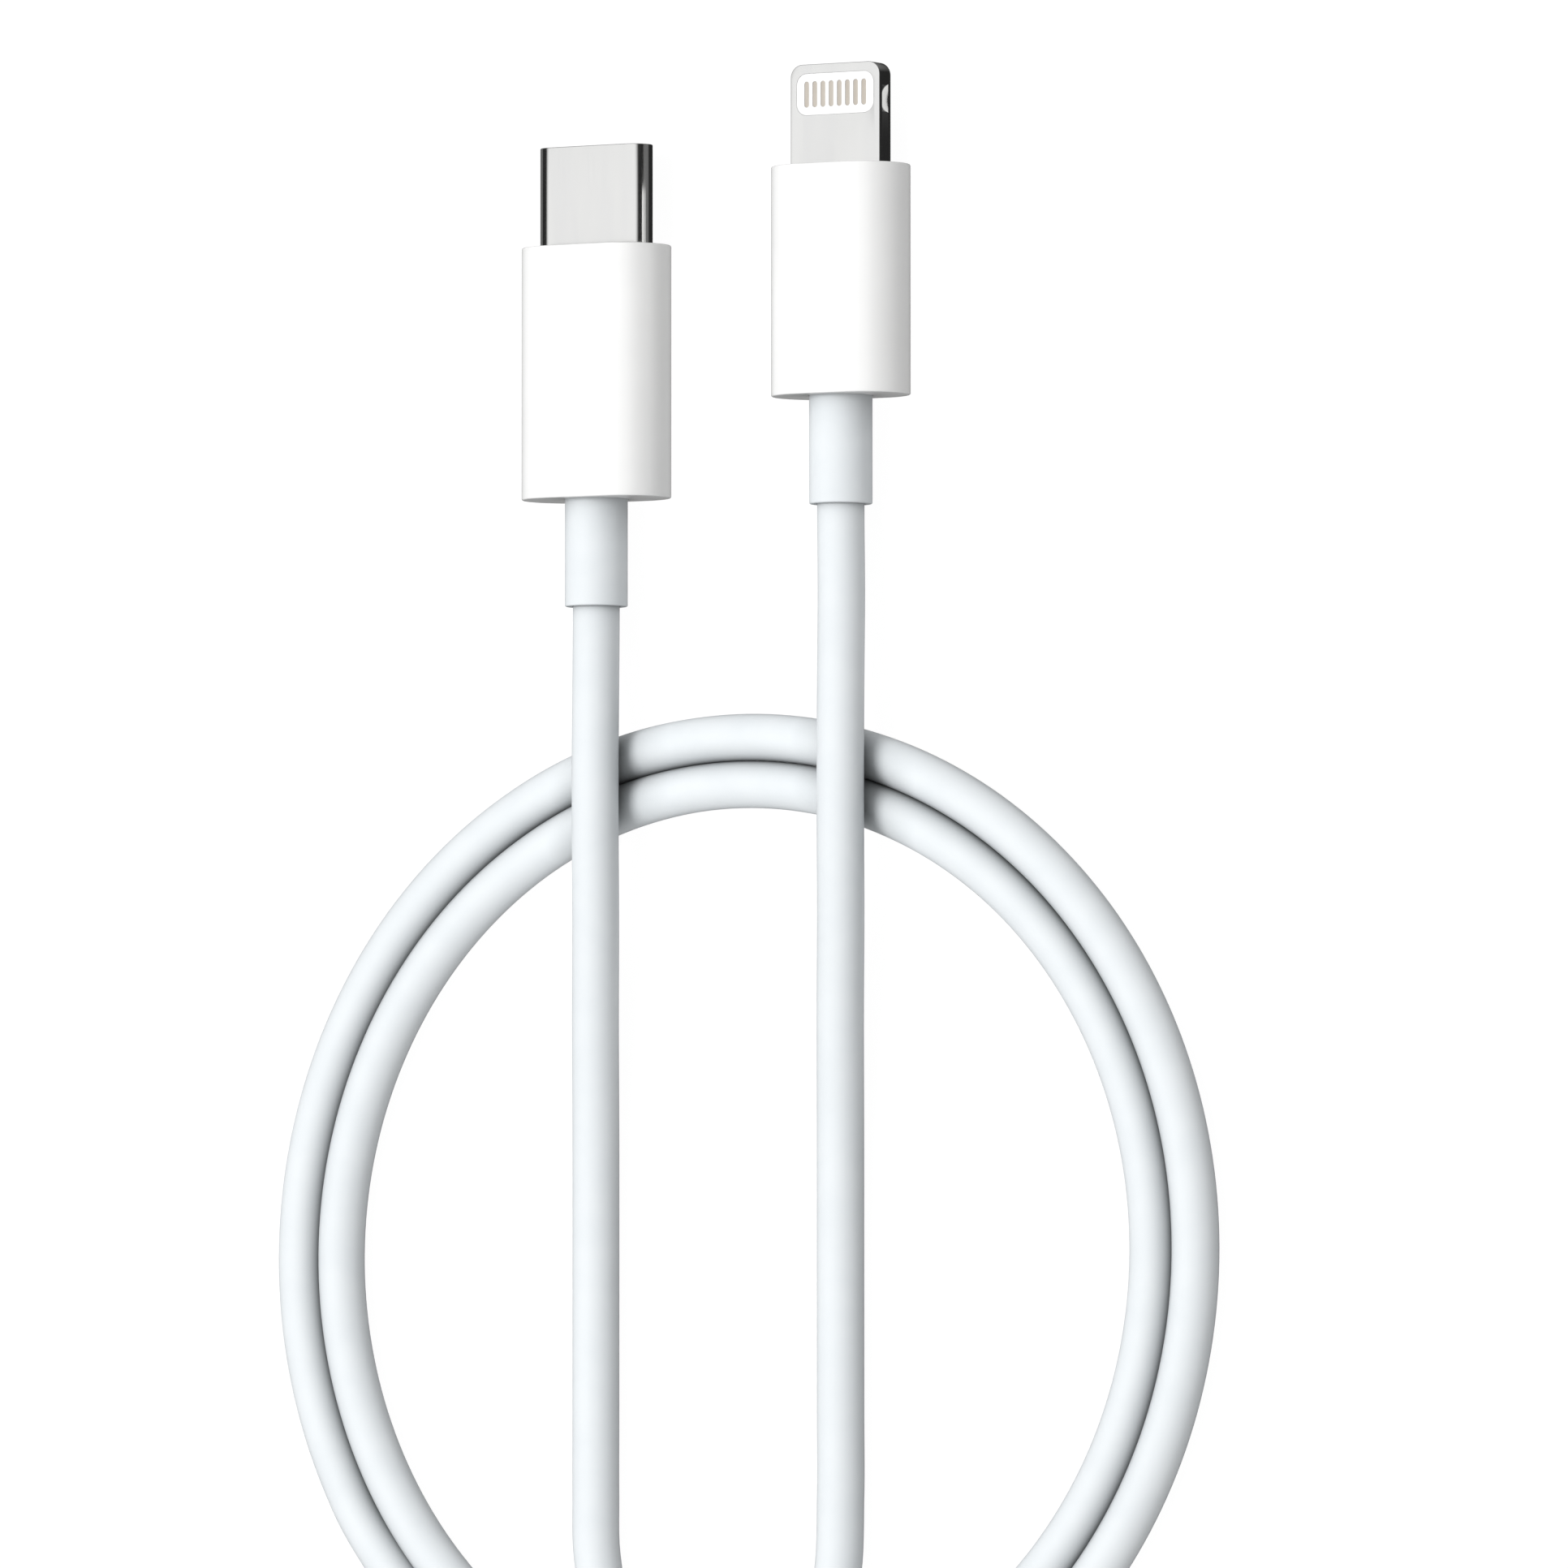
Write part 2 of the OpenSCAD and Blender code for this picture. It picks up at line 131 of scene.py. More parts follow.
def smooth_line(points, step):
    """A centripetal Catmull-Rom curve through points in millimetres, cut into even steps.
    Gives its points and its length, in metres."""
    p = [Vector(q) * MM for q in points]
    p = [2 * p[0] - p[1]] + p + [2 * p[-1] - p[-2]]
    fine = []
    pieces_each = 24
    for i in range(1, len(p) - 2):
        knots = [0.0]
        for a, b in zip(p[i - 1 : i + 2], p[i : i + 3]):
            knots.append(knots[-1] + math.sqrt((b - a).length))
        t0, t1, t2, t3 = knots
        for k in range(pieces_each):
            t = t1 + (t2 - t1) * k / pieces_each
            a1 = p[i - 1] * ((t1 - t) / (t1 - t0)) + p[i] * ((t - t0) / (t1 - t0))
            a2 = p[i] * ((t2 - t) / (t2 - t1)) + p[i + 1] * ((t - t1) / (t2 - t1))
            a3 = p[i + 1] * ((t3 - t) / (t3 - t2)) + p[i + 2] * ((t - t2) / (t3 - t2))
            b1 = a1 * ((t2 - t) / (t2 - t0)) + a2 * ((t - t0) / (t2 - t0))
            b2 = a2 * ((t3 - t) / (t3 - t1)) + a3 * ((t - t1) / (t3 - t1))
            fine.append(b1 * ((t2 - t) / (t2 - t1)) + b2 * ((t - t1) / (t2 - t1)))
    fine.append(p[-2])
    even, run, wanted = [fine[0]], 0.0, step
    for a, b in zip(fine, fine[1:]):
        d = (b - a).length
        while run + d >= wanted:
            even.append(a.lerp(b, (wanted - run) / d))
            wanted += step
        run += d
    if (even[-1] - fine[-1]).length > step / 4:
        even.append(fine[-1])
    return even, run


# ---------------------------------------------------------------- mesh building
SHARP_ANGLE = math.radians(35)
MERGE_DISTANCE = 1e-8
OUTLINE_POINTS = 96
RIM_STEPS = 5
PLATE_RIM_STEPS = 4


def new_object(name, bm):
    bmesh.ops.remove_doubles(bm, verts=bm.verts, dist=MERGE_DISTANCE)
    bmesh.ops.recalc_face_normals(bm, faces=bm.faces)
    mesh = bpy.data.meshes.new(name)
    bm.to_mesh(mesh)
    bm.free()
    mesh.polygons.foreach_set("use_smooth", [True] * len(mesh.polygons))
    mesh.set_sharp_from_angle(angle=SHARP_ANGLE)
    obj = bpy.data.objects.new(name, mesh)
    bpy.context.scene.collection.objects.link(obj)
    return obj


def stadium(width, height):
    """Outline with two half-round ends, the same count of points whatever its size."""
    r = min(width, height) / 2
    half = (width - height) / 2
    points_each = OUTLINE_POINTS // 2
    points = []
    for side in (1, -1):
        for k in range(points_each):
            a = math.pi * (k / (points_each - 1)) - math.pi / 2
            points.append((side * (half + r * math.cos(a)), side * r * math.sin(a)))
    return points


def disc(diameter):
    return stadium(diameter, diameter)


def skin(bm, loops, closed):
    """Joins loops of equal count, each a list of points, with quads."""
    rings = [[bm.verts.new(p) for p in loop] for loop in loops]
    n = len(rings[0])
    pairs = list(zip(rings, rings[1:]))
    if closed:
        pairs.append((rings[-1], rings[0]))
    for a, b in pairs:
        for k in range(n):
            j = (k + 1) % n
            corners = [a[k], a[j], b[j], b[k]]
            if len(set(corners)) == 4:
                bm.faces.new(corners)
    return rings


def ring_solid(name, x, rows):
    """A closed tube about a plug's axis. Rows of (outline points, y) run from its outside to its inside."""
    bm = bmesh.new()
    loops = [[(x + px, y, AXIS_Z + pz) for px, pz in outline] for outline, y in rows]
    skin(bm, loops, closed=True)
    return new_object(name, bm)


def edge_rows(w, h, y, toward, radius, outer=True, steps=RIM_STEPS):
    """Rows that round one edge of a tube's wall at y. toward is +1 where the wall runs on to higher y.
    The outline shrinks towards the end face on an outer edge and grows on an inner one."""
    sign = -1 if outer else 1
    rows = []
    for k in range(steps + 1):
        a = math.pi / 2 * k / steps
        change = 2 * sign * radius * (1 - math.sin(a))
        along = radius * (1 - math.cos(a))
        rows.append((stadium(w + change, h + change), y + toward * along))
    return rows


def sleeve(name, x, box):
    """Hard housing with softly rounded ends, a round hole behind and an open mouth in front."""
    width = box[1][0] - box[0][0]
    back, front = box[0][1], box[1][1]
    fillet, hole_fillet, mouth_fillet = 0.1 * MM, 0.06 * MM, 0.05 * MM
    hole = COLLAR_D + PLAY
    mouth_w, mouth_h = width - 2 * HOUSING_WALL, HOUSING_H - 2 * HOUSING_WALL
    rows = edge_rows(width, HOUSING_H, back, 1, fillet)
    rows += edge_rows(width, HOUSING_H, front, -1, fillet)[::-1]
    rows += edge_rows(mouth_w, mouth_h, front, -1, mouth_fillet, outer=False)
    rows += [(stadium(mouth_w, mouth_h), back + REAR_WALL), (disc(hole), back + REAR_WALL)]
    rows += edge_rows(hole, hole, back, 1, hole_fillet, outer=False)[::-1]
    return ring_solid(name, x, rows)


def collar(name, x, box, housing_back):
    """Soft collar: a straight tube with a softly rounded free end, and the flange inside the housing."""
    back, front = box[0][1], box[1][1]
    lip, bore_lip = 0.1 * MM, 0.05 * MM
    bore = CORD_D + PLAY
    flange_d = box[1][0] - box[0][0]
    flange_back = housing_back + REAR_WALL + PLAY
    rows = edge_rows(COLLAR_D, COLLAR_D, back, 1, lip)
    rows += [(disc(COLLAR_D), flange_back), (disc(flange_d), flange_back), (disc(flange_d), front)]
    rows += [(disc(bore), front)]
    rows += edge_rows(bore, bore, back, 1, bore_lip, outer=False)[::-1]
    return ring_solid(name, x, rows)


def shell_tube(name, x, box):
    """Drawn steel shell with rolled front lips."""
    w, h = box[1][0] - box[0][0], box[1][2] - box[0][2]
    back, front = box[0][1], box[1][1]
    rear_lip, front_lip, inner_lip = 0.03 * MM, 0.05 * MM, 0.08 * MM
    in_w, in_h = w - 2 * SHELL_WALL, h - 2 * SHELL_WALL
    rows = edge_rows(w, h, back, 1, rear_lip, steps=2)
    rows += edge_rows(w, h, front, -1, front_lip)[::-1]
    rows += edge_rows(in_w, in_h, front, -1, inner_lip, outer=False)
    rows += [(stadium(in_w, in_h), back)]
    return ring_solid(name, x, rows)


def inset(outline, amount):
    """Moves a counter-clockwise outline inwards along its corners' normals. At a sharp corner the move
    is at most twice the amount."""
    n, out = len(outline), []
    for i in range(n):
        a, b, c = Vector(outline[i - 1]), Vector(outline[i]), Vector(outline[(i + 1) % n])
        d1, d2 = (b - a).normalized(), (c - b).normalized()
        n1, n2 = Vector((-d1.y, d1.x)), Vector((-d2.y, d2.x))
        m = (n1 + n2).normalized()
        out.append(tuple(b + m * (amount / max(0.5, m.dot(n1)))))
    return out


def plate(name, outline, low, high, fillet, holes=(), hole_fillet=0.0, to_point=None, bm=None):
    """A flat plate between two levels, with rounded rims. Outlines run counter-clockwise.
    to_point turns (u, v, level) into a place; with bm given, the plate is added to that mesh."""
    to_point = to_point or (lambda u, v, level: (u, v, level))
    own = bm is None
    bm = bm or bmesh.new()

    def wall(path, radius, sign):
        """The plate's edge along one outline. sign is 1 around the plate and -1 around a hole."""
        levels = []
        for k in range(PLATE_RIM_STEPS + 1):
            a = math.pi / 2 * k / PLATE_RIM_STEPS
            levels.append((sign * radius * (1 - math.sin(a)), low + radius * (1 - math.cos(a))))
        levels += [(i, low + high - z) for i, z in levels[::-1]]
        if radius == 0:
            levels = [(0, low), (0, high)]
        loops = [[to_point(u, v, z) for u, v in inset(path, i)] for i, z in levels]
        return skin(bm, loops, closed=False)

    walls = [wall(outline, fillet, 1)] + [wall(h, hole_fillet, -1) for h in holes]
    for end in (0, -1):  # the lower face, then the upper one
        edges = []
        for rings in walls:
            ring = rings[end]
            edges += [bm.edges.get((ring[k - 1], ring[k])) for k in range(len(ring))]
        bmesh.ops.triangle_fill(bm, edges=edges, use_beauty=True, use_dissolve=False)
    return new_object(name, bm) if own else None


def arc(cx, cy, r, start, stop, n=10):
    """Points of an arc, from start to stop in degrees."""
    return [
        (cx + r * math.cos(math.radians(start + (stop - start) * k / n)),
         cy + r * math.sin(math.radians(start + (stop - start) * k / n)))
        for k in range(n + 1)
    ]


def round_rectangle(cx, cy, w, h, r, n=8):
    """Counter-clockwise outline about a centre, with n steps in each round corner."""
    x, y = w / 2 - r, h / 2 - r
    return (
        arc(cx + x, cy - y, r, -90, 0, n) + arc(cx + x, cy + y, r, 0, 90, n)
        + arc(cx - x, cy + y, r, 90, 180, n) + arc(cx - x, cy - y, r, 180, 270, n)
    )


# ---------------------------------------------------------------- materials
# The colour mix node's sockets, which share their names with those of other data types
MIX_FACTOR, MIX_A, MIX_B, MIX_RESULT = 0, 6, 7, 2


class Nodes:
    """Short calls for a material's node tree."""

    def __init__(self, name):
        self.material = bpy.data.materials.new(name)
        self.material.use_nodes = True
        self.tree = self.material.node_tree
        self.shader = self.tree.nodes["Principled BSDF"]
        self.place = self.tree.nodes.new("ShaderNodeTexCoord").outputs["Object"]

    def set(self, **values):
        for key, value in values.items():
            self.shader.inputs[key.replace("_", " ")].default_value = value

    def node(self, kind, **sockets):
        made = self.tree.nodes.new(kind)
        for key, value in sockets.items():
            made.inputs[key.replace("_", " ")].default_value = value
        return made

    def link(self, a, b):
        self.tree.links.new(a, b)

    def noise(self, scale, detail=3.0, roughness=0.5, stretch=(1, 1, 1)):
        """Noise in the object's own metres. stretch lengthens the grain along an axis."""
        mapping = self.node("ShaderNodeMapping")
        mapping.inputs["Scale"].default_value = [1 / s for s in stretch]
        self.link(self.place, mapping.inputs["Vector"])
        made = self.node("ShaderNodeTexNoise", Scale=scale, Detail=detail, Roughness=roughness)
        self.link(mapping.outputs["Vector"], made.inputs["Vector"])
        return made.outputs["Fac"]

    def colours(self, fac, low, high, start=0.35, end=0.65, crevice_shade=None):
        """Base colour from low to high. The last argument, (darkest, reach), darkens it with painted shade
        where surfaces meet or come within reach of each other or the floor.
        """
        ramp = self.node("ShaderNodeValToRGB")
        ramp.color_ramp.elements[0].position, ramp.color_ramp.elements[1].position = start, end
        ramp.color_ramp.elements[0].color = (*low, 1)
        ramp.color_ramp.elements[1].color = (*high, 1)
        self.link(fac, ramp.inputs["Fac"])
        if crevice_shade is None:
            self.link(ramp.outputs["Color"], self.shader.inputs["Base Color"])
            return
        darkest, reach = crevice_shade
        # Painted shade: ambient occlusion darkens the base colour down to darkest near other surfaces and
        # the floor
        shade_occlusion = self.node("ShaderNodeAmbientOcclusion", Distance=reach)
        shade_occlusion.samples = 8
        shade_amount = self.node("ShaderNodeMapRange")
        shade_amount.inputs["To Min"].default_value = darkest
        self.link(shade_occlusion.outputs["AO"], shade_amount.inputs["Value"])
        mix = self.node("ShaderNodeMix")
        mix.data_type, mix.blend_type = "RGBA", "MULTIPLY"
        mix.inputs[MIX_FACTOR].default_value = 1.0
        self.link(ramp.outputs["Color"], mix.inputs[MIX_A])
        self.link(shade_amount.outputs["Result"], mix.inputs[MIX_B])
        self.link(mix.outputs[MIX_RESULT], self.shader.inputs["Base Color"])

    def roughness(self, fac, low, high):
        """Roughness from low to high over the middle of the noise's range."""
        ranged = self.node("ShaderNodeMapRange")
        ranged.inputs["From Min"].default_value, ranged.inputs["From Max"].default_value = 0.3, 0.7
        ranged.inputs["To Min"].default_value, ranged.inputs["To Max"].default_value = low, high
        self.link(fac, ranged.inputs["Value"])
        self.link(ranged.outputs["Result"], self.shader.inputs["Roughness"])

    def bump(self, fac, distance, strength=0.5):
        made = self.node("ShaderNodeBump", Strength=strength, Distance=distance)
        self.link(fac, made.inputs["Height"])
        self.link(made.outputs["Normal"], self.shader.inputs["Normal"])


def soft_jacket():
    """Satin elastomer of the cord and the collars: cool white, with a fine moulded grain, and painted shade
    in its base colour where parts meet and near the floor.
    """
    m = Nodes("soft_jacket")
    m.set(IOR=1.5, Specular_IOR_Level=0.35)
    # Painted shade: the base colour falls to 0.3 of itself within 3.4 mm of other surfaces, the floor too
    m.colours(m.noise(420, 4), (0.68, 0.712, 0.732), (0.70, 0.73, 0.748), crevice_shade=(0.3, 0.0034))
    m.roughness(m.noise(1500, 3), 0.36, 0.46)
    m.bump(m.noise(9000, 3), 0.00001, 0.35)
    return m.material


def gloss_shell():
    """Hard polished plastic of the housings and covers: neutral white, almost flat, under a clear gloss,
    with painted shade in its base colour near other parts and the floor.
    """
    m = Nodes("gloss_shell")
    m.set(IOR=1.5, Specular_IOR_Level=0.5)
    # Painted shade: the base colour falls to 0.75 of itself within 4 mm of other surfaces, the floor too
    m.colours(m.noise(260, 3), (0.80, 0.80, 0.795), (0.815, 0.815, 0.81), crevice_shade=(0.75, 0.004))
    m.roughness(m.noise(700, 2), 0.24, 0.27)
    m.bump(m.noise(500, 2), 0.000002, 0.15)
    return m.material


def polished_steel():
    """Bright metal with hair-fine drawing marks along the plug."""
    grain = (1, 14, 1)
    m = Nodes("polished_steel")
    m.set(Metallic=1.0, Anisotropic=0.25)
    m.colours(m.noise(900, 4, stretch=grain), (0.86, 0.86, 0.855), (0.88, 0.88, 0.87))
    m.roughness(m.noise(5200, 4, stretch=grain), 0.14, 0.18)
    m.bump(m.noise(14000, 3, stretch=grain), 0.000002, 0.15)
    return m.material


def contact_gold():
    """Pale gold plating with a faint grain along each contact."""
    m = Nodes("contact_gold")
    m.set(Metallic=0.3)
    m.colours(m.noise(2400, 4, stretch=(1, 5, 1)), (0.50, 0.455, 0.40), (0.53, 0.485, 0.43))
    m.roughness(m.noise(4000, 3), 0.34, 0.42)
    m.bump(m.noise(12000, 3), 0.000003, 0.3)
    return m.material


def moulded(name, low, high, rough=(0.4, 0.55)):
    """Plain moulded plastic with a fine spark-eroded grain."""
    m = Nodes(name)
    m.colours(m.noise(600, 4), low, high)
    m.roughness(m.noise(2400, 3), *rough)
    m.bump(m.noise(8000, 4), 0.00001, 0.35)
    return m.material


def tinned_sheet():
    """Grey tinned steel of the folded cans and the crimped rings."""
    m = Nodes("tinned_sheet")
    m.set(Metallic=1.0)
    m.colours(m.noise(700, 5), (0.60, 0.61, 0.62), (0.72, 0.73, 0.74))
    m.roughness(m.noise(3000, 4), 0.28, 0.42)
    m.bump(m.noise(6000, 4), 0.000006, 0.4)
    return m.material


def solder_mask():
    """Green board: glass weave under a glossy mask."""
    m = Nodes("solder_mask")
    weave = m.node("ShaderNodeTexWave", Scale=900.0, Distortion=0.6)
    m.link(m.place, weave.inputs["Vector"])
    m.set(Coat_Weight=0.3)
    m.colours(weave.outputs["Fac"], (0.012, 0.10, 0.035), (0.02, 0.16, 0.06), 0.2, 0.8)
    m.roughness(m.noise(1500, 3), 0.25, 0.4)
    m.bump(weave.outputs["Fac"], 0.00001, 0.25)
    return m.material


MATERIALS = {
    "soft_jacket": soft_jacket(),
    "gloss_shell": gloss_shell(),
    "steel": polished_steel(),
    "tinned_sheet": tinned_sheet(),
    "gold_contact": contact_gold(),
    "black_plastic": moulded("black_plastic", (0.012, 0.012, 0.013), (0.03, 0.03, 0.032)),
    "circuit_board": solder_mask(),
    "grey_mould": moulded("grey_mould", (0.50, 0.51, 0.53), (0.58, 0.59, 0.61)),
    "red_wire": moulded("red_wire", (0.45, 0.01, 0.01), (0.55, 0.02, 0.02), (0.3, 0.42)),
    "black_wire": moulded("black_wire", (0.01, 0.01, 0.01), (0.025, 0.025, 0.025), (0.3, 0.42)),
    "green_wire": moulded("green_wire", (0.01, 0.2, 0.05), (0.02, 0.27, 0.08), (0.3, 0.42)),
}


def dress(obj, slot, *replaced):
    """Gives a new piece the material of its slot and its body, and hides the CAD nodes that it stands for.
    """
    obj.data.materials.append(MATERIALS[slot])
    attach(obj, "cable")
    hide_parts(*replaced)


# ---------------------------------------------------------------- camera
LENS = 361.5
AIM = Vector((0.01254, -0.02735, 0))
DISTANCE = 1.0349
SENSOR_W = 36
TILT, PITCH, ROLL = (math.radians(a) for a in (30.05, 2.517, -1.47))


def make_camera():
    """A long lens above the cable and to its right, looking down at AIM."""
    data = bpy.data.cameras.new("camera")
    data.lens, data.sensor_width = LENS, SENSOR_W
    data.clip_start, data.clip_end = 0.01, 20
    camera = bpy.data.objects.new("camera", data)
    bpy.context.scene.collection.objects.link(camera)
    turn = Matrix.Rotation(ROLL, 4, "Z") @ Matrix.Rotation(PITCH, 4, "X") @ Matrix.Rotation(TILT, 4, "Y")
    camera.matrix_world = Matrix.Translation(AIM + turn.col[2].to_3d() * DISTANCE) @ turn
    bpy.context.scene.camera = camera


# ---------------------------------------------------------------- the cord
def make_cord():
    """A round tube along the whole route. Gives the cord, its route's points and its length."""
    route, length = smooth_line(TYPE_C_RUN + coil_points() + EIGHT_PIN_RUN, ROUTE_STEP)
    bm = bmesh.new()
    side = Vector((1, 0, 0))
    loops = []
    for i, centre in enumerate(route):
        ahead = (route[min(i + 1, len(route) - 1)] - route[max(i - 1, 0)]).normalized()
        side = (side - ahead * side.dot(ahead)).normalized()
        up = ahead.cross(side)
        loops.append([
            centre + CORD_D / 2 * (math.cos(a) * side + math.sin(a) * up)
            for a in (2 * math.pi * k / CORD_SIDES for k in range(CORD_SIDES))
        ])
    rings = skin(bm, loops, closed=False)
    bm.faces.new(rings[0])
    bm.faces.new(rings[-1])
    cord = new_object("cord", bm)
    dress(cord, "soft_jacket", "cord_type_c_run", "cord_coil", "cord_eight_pin_run")
    return cord, route, length


# ---------------------------------------------------------------- the plugs
def make_housing(plug, x, housing, relief):
    """One plug's outer sleeve and the soft collar behind it."""
    dress(sleeve(plug + "_housing_skin", x, housing), "gloss_shell", plug + "_housing")
    dress(collar(plug + "_collar", x, relief, housing[0][1]), "soft_jacket", plug + "_strain_relief")


def make_cover(plug, x, box, opening):
    """Plate in the housing's mouth: drawn in X and Z, thick along Y."""
    w, h = box[1][0] - box[0][0], box[1][2] - box[0][2]
    rim, opening_rim = 0.06 * MM, 0.04 * MM

    def upright(u, v, level):
        return (x + u, level, AXIS_Z + v)

    cover = plate(
        plug + "_cover", stadium(w, h), box[0][1], box[1][1], rim, [opening], opening_rim, upright
    )
    dress(cover, "gloss_shell", plug + "_front_cover")


def make_covers():
    shell_w, shell_h = C_SHELL[1][0] - C_SHELL[0][0], C_SHELL[1][2] - C_SHELL[0][2]
    make_cover("type_c", C_X, C_COVER, stadium(shell_w + PLAY, shell_h + PLAY))
    corner = 0.06 * MM
    tab_opening = round_rectangle(0, 0, TAB_W + PLAY, TAB_H + PLAY, corner, n=3)
    make_cover("eight_pin", E_X, E_COVER, tab_opening)


def tab_outline():
    """The tab's plan: straight sides and two round front corners."""
    half, back, tip = TAB_W / 2, E_TAB[0][1], E_TAB[1][1]
    right = [(half, back)] + arc(half - TAB_CORNER, tip - TAB_CORNER, TAB_CORNER, 0, 90)
    left = [(-x, y) for x, y in right[::-1]]
    return [(E_X + x, y) for x, y in right + left]


def window_outline(shrink):
    """The round-cornered window in the tab, smaller by shrink in both directions."""
    cx, cy = (E_BLOCK[0][0] + E_BLOCK[1][0]) / 2, (E_BLOCK[0][1] + E_BLOCK[1][1]) / 2
    w, h = E_BLOCK[1][0] - E_BLOCK[0][0], E_BLOCK[1][1] - E_BLOCK[0][1]
    return round_rectangle(cx, cy, w - shrink, h - shrink, WINDOW_CORNER)


def pad_outlines(grow):
    """Slots with round ends, side by side in the window, one for each contact."""
    pitch = (E_PADS[1][0] - E_PADS[0][0] - PAD_W) / (PAD_COUNT - 1)
    length, cy = E_PADS[1][1] - E_PADS[0][1], (E_PADS[0][1] + E_PADS[1][1]) / 2
    return [
        round_rectangle(
            E_PADS[0][0] + PAD_W / 2 + k * pitch, cy, PAD_W + grow, length + grow,
            PAD_W / 2 * PAD_ROUNDING, n=6,
        )
        for k in range(PAD_COUNT)
    ]


def cut(obj, cutters):
    """Takes the cutters' space out of obj, and removes the cutters."""
    for cutter in cutters:
        modifier = obj.modifiers.new("cut", "BOOLEAN")
        modifier.operation, modifier.solver, modifier.object = "DIFFERENCE", "EXACT", cutter
    graph = bpy.context.evaluated_depsgraph_get()
    mesh = bpy.data.meshes.new_from_object(obj.evaluated_get(graph))
    obj.modifiers.clear()
    obj.data = mesh
    mesh.set_sharp_from_angle(angle=SHARP_ANGLE)
    for cutter in cutters:
        bpy.data.objects.remove(cutter)


def board_slot():
    """The circuit board's space through the tab, from behind it to just short of the window's front."""
    back, front = E_TAB[0][1] - MM, E_BLOCK[1][1] - BOARD_SLOT_SHORT
    left, right = E_X - BOARD_SLOT_W / 2, E_X + BOARD_SLOT_W / 2
    outline = [(left, back), (right, back), (right, front), (left, front)]
    return plate("slot", outline, AXIS_Z - BOARD_SLOT_H / 2, AXIS_Z + BOARD_SLOT_H / 2, 0)


def side_recess(side):
    """The space of the round latch pocket in one side face of the tab."""
    x = E_X + side * (TAB_W / 2 + RECESS_R - RECESS_DEPTH)
    y = E_TAB[1][1] - RECESS_FROM_TIP
    outline = arc(x, y, RECESS_R, 0, 360, n=72)[:-1]
    return plate("recess", outline, AXIS_Z - RECESS_H / 2, AXIS_Z + RECESS_H / 2, 0)


def make_tab():
    """The tab's metal with its window and side pockets, and the white block in the window."""
    low, high = AXIS_Z - TAB_H / 2, AXIS_Z + TAB_H / 2
    tab_rim, window_rim, block_rim, slot_rim = 0.04 * MM, 0.015 * MM, 0.02 * MM, 0.02 * MM
    tab = plate(
        "eight_pin_tab_metal", tab_outline(), low, high, tab_rim, [window_outline(0)], window_rim
    )
    cut(tab, [board_slot(), side_recess(-1), side_recess(1)])
    dress(tab, "steel", "eight_pin_tab")
    block = plate(
        "eight_pin_window_block", window_outline(BLOCK_GAP), low + BLOCK_SUNK, high - BLOCK_SUNK,
        block_rim, pad_outlines(0), slot_rim,
    )
    cut(block, [board_slot()])
    dress(block, "gloss_shell", "eight_pin_contact_block")


def make_pads(name, node, side):
    """Flat contacts with round ends, from the board to just below the white block's face. side is 1 for
    the upper face and -1 for the lower one."""
    rim = 0.01 * MM
    board_face = AXIS_Z + side * BOARD_T / 2
    surface = AXIS_Z + side * (TAB_H / 2 - BLOCK_SUNK - PAD_SUNK)
    low, high = min(board_face, surface), max(board_face, surface)
    bm = bmesh.new()
    for outline in pad_outlines(-PAD_GAP):
        plate(name, outline, low, high, rim, bm=bm)
    dress(new_object(name, bm), "gold_contact", node)


# ---------------------------------------------------------------- floor and light
FLOOR_R = 1.6
OVERHEAD_PLACE = Vector((-0.26, 0.08, 1.58))
OVERHEAD_AIM = Vector((0.01, -0.04, 0))
OVERHEAD_SIZE = 0.8
OVERHEAD_POWER = 21.4


def make_floor():
    """White paper that glows, so that the cable's shadow on it stays faint."""
    bm = bmesh.new()
    bmesh.ops.create_circle(bm, cap_ends=True, segments=96, radius=FLOOR_R)
    floor = new_object("floor", bm)
    m = Nodes("floor_paper")
    m.set(Specular_IOR_Level=0.1, Emission_Color=(1, 1, 1, 1), Emission_Strength=0.965)
    m.colours(m.noise(90, 3), (0.07, 0.07, 0.07), (0.08, 0.08, 0.08))
    m.roughness(m.noise(300, 2), 0.85, 0.95)
    floor.data.materials.append(m.material)
    floor.visible_glossy = False


def make_overhead():
    """A round soft box above and to the left, turned to the middle of the cable."""
    data = bpy.data.lights.new("overhead", "AREA")
    data.shape, data.size, data.energy = "DISK", OVERHEAD_SIZE, OVERHEAD_POWER
    light = bpy.data.objects.new("overhead", data)
    bpy.context.scene.collection.objects.link(light)
    light.location, light.visible_glossy = OVERHEAD_PLACE, False
    light.rotation_euler = (OVERHEAD_AIM - OVERHEAD_PLACE).to_track_quat("-Z", "Y").to_euler()


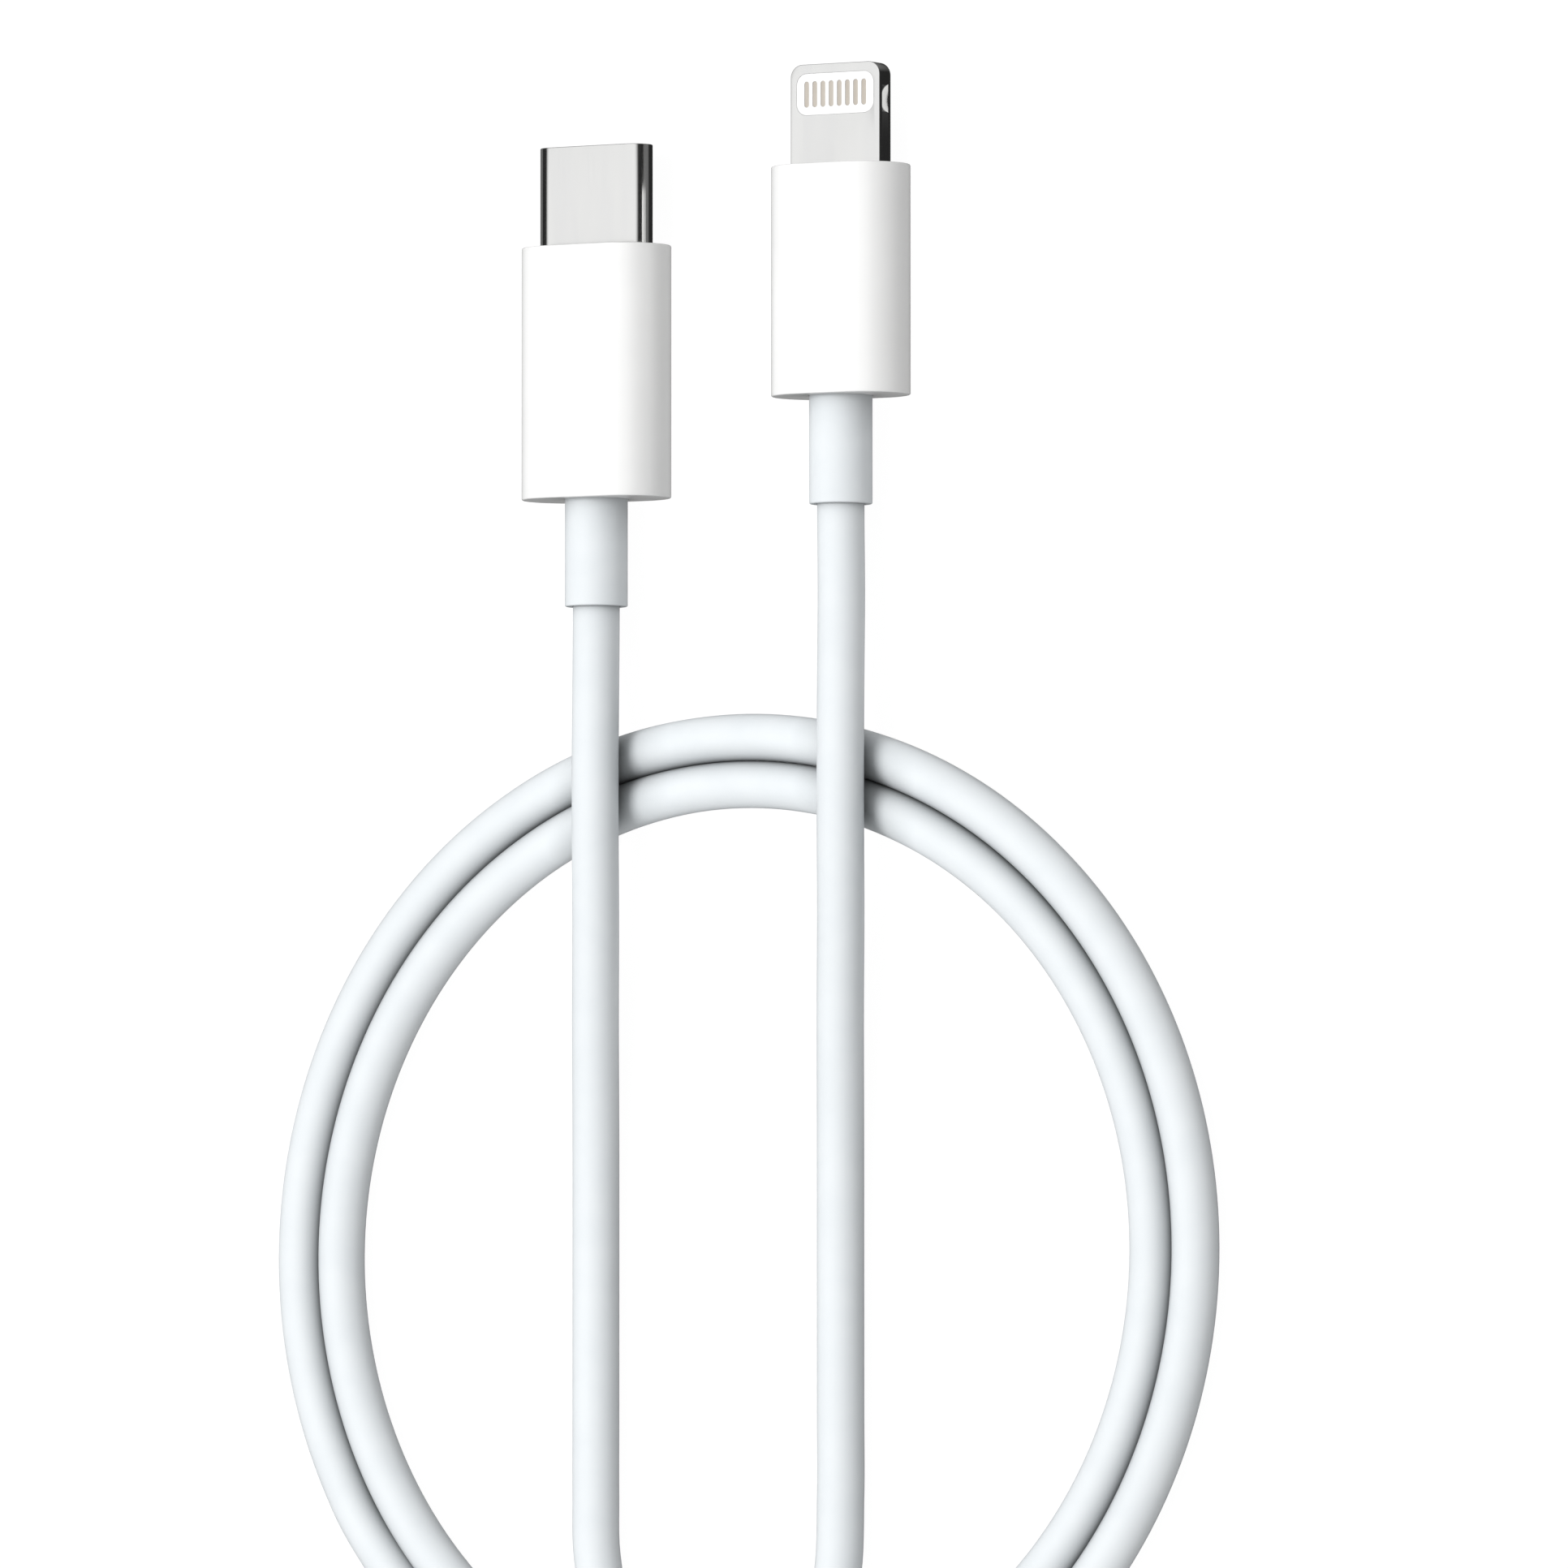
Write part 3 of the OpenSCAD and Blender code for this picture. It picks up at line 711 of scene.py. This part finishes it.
def make_studio():
    """A studio that is bright above, grey before and behind the plugs, and hung with dark cloth to their
    left and right, which draws the dark lines along the metal's sides."""
    world = bpy.data.worlds.new("studio")
    bpy.context.scene.world = world
    world.use_nodes = True
    tree = world.node_tree
    split = tree.nodes.new("ShaderNodeSeparateXYZ")
    tree.links.new(tree.nodes.new("ShaderNodeTexCoord").outputs["Generated"], split.inputs["Vector"])

    def mapped(socket, low, high):
        node = tree.nodes.new("ShaderNodeMapRange")
        node.inputs["From Min"].default_value, node.inputs["From Max"].default_value = low, high
        tree.links.new(socket, node.inputs["Value"])
        return node.outputs["Result"]

    def tones(stops):
        """Grey by height, from -1 straight down to 1 straight up."""
        ramp = tree.nodes.new("ShaderNodeValToRGB")
        while len(ramp.color_ramp.elements) < len(stops):
            ramp.color_ramp.elements.new(0.5)
        for element, (height, grey) in zip(ramp.color_ramp.elements, stops):
            element.position, element.color = (height + 1) / 2, (grey, grey, grey, 1)
        tree.links.new(mapped(split.outputs["Z"], -1, 1), ramp.inputs["Fac"])
        return ramp.outputs["Color"]

    sides = tones([(-0.72, 0.02), (-0.56, 0.16), (-0.06, 0.16), (0.04, 0.02), (0.58, 0.02), (0.8, 0.93)])
    ends = tones([(-0.9, 0.2), (-0.1, 0.25), (0.1, 0.25), (0.58, 0.35), (0.8, 0.93)])
    along = tree.nodes.new("ShaderNodeMath")
    along.operation = "ABSOLUTE"
    tree.links.new(split.outputs["Y"], along.inputs[0])
    mix = tree.nodes.new("ShaderNodeMix")  # the sides' tones near X, the ends' tones near Y
    mix.data_type = "RGBA"
    tree.links.new(mapped(along.outputs["Value"], 0.3, 0.7), mix.inputs[MIX_FACTOR])
    tree.links.new(sides, mix.inputs[MIX_A])
    tree.links.new(ends, mix.inputs[MIX_B])
    tree.links.new(mix.outputs[MIX_RESULT], tree.nodes["Background"].inputs["Color"])
    bpy.context.scene.view_settings.view_transform = "Standard"


# ---------------------------------------------------------------- assembly
make_camera()
cord, route, cord_length = make_cord()
make_housing("type_c", C_X, C_HOUSING, C_COLLAR)
make_housing("eight_pin", E_X, E_HOUSING, E_COLLAR)
make_covers()
dress(shell_tube("type_c_shell_tube", C_X, C_SHELL), "steel", "type_c_shell")
make_tab()
make_pads("eight_pin_pads_up", "eight_pin_upper_contacts", 1)
make_pads("eight_pin_pads_down", "eight_pin_lower_contacts", -1)

slots = {row["node"]: row["material_slot"] for row in frame["record"]["subparts"]}
for node, obj in frame["nodes"].items():
    for material_slot in obj.material_slots:
        material_slot.material = MATERIALS[slots[node]]

make_floor()
make_overhead()
make_studio()
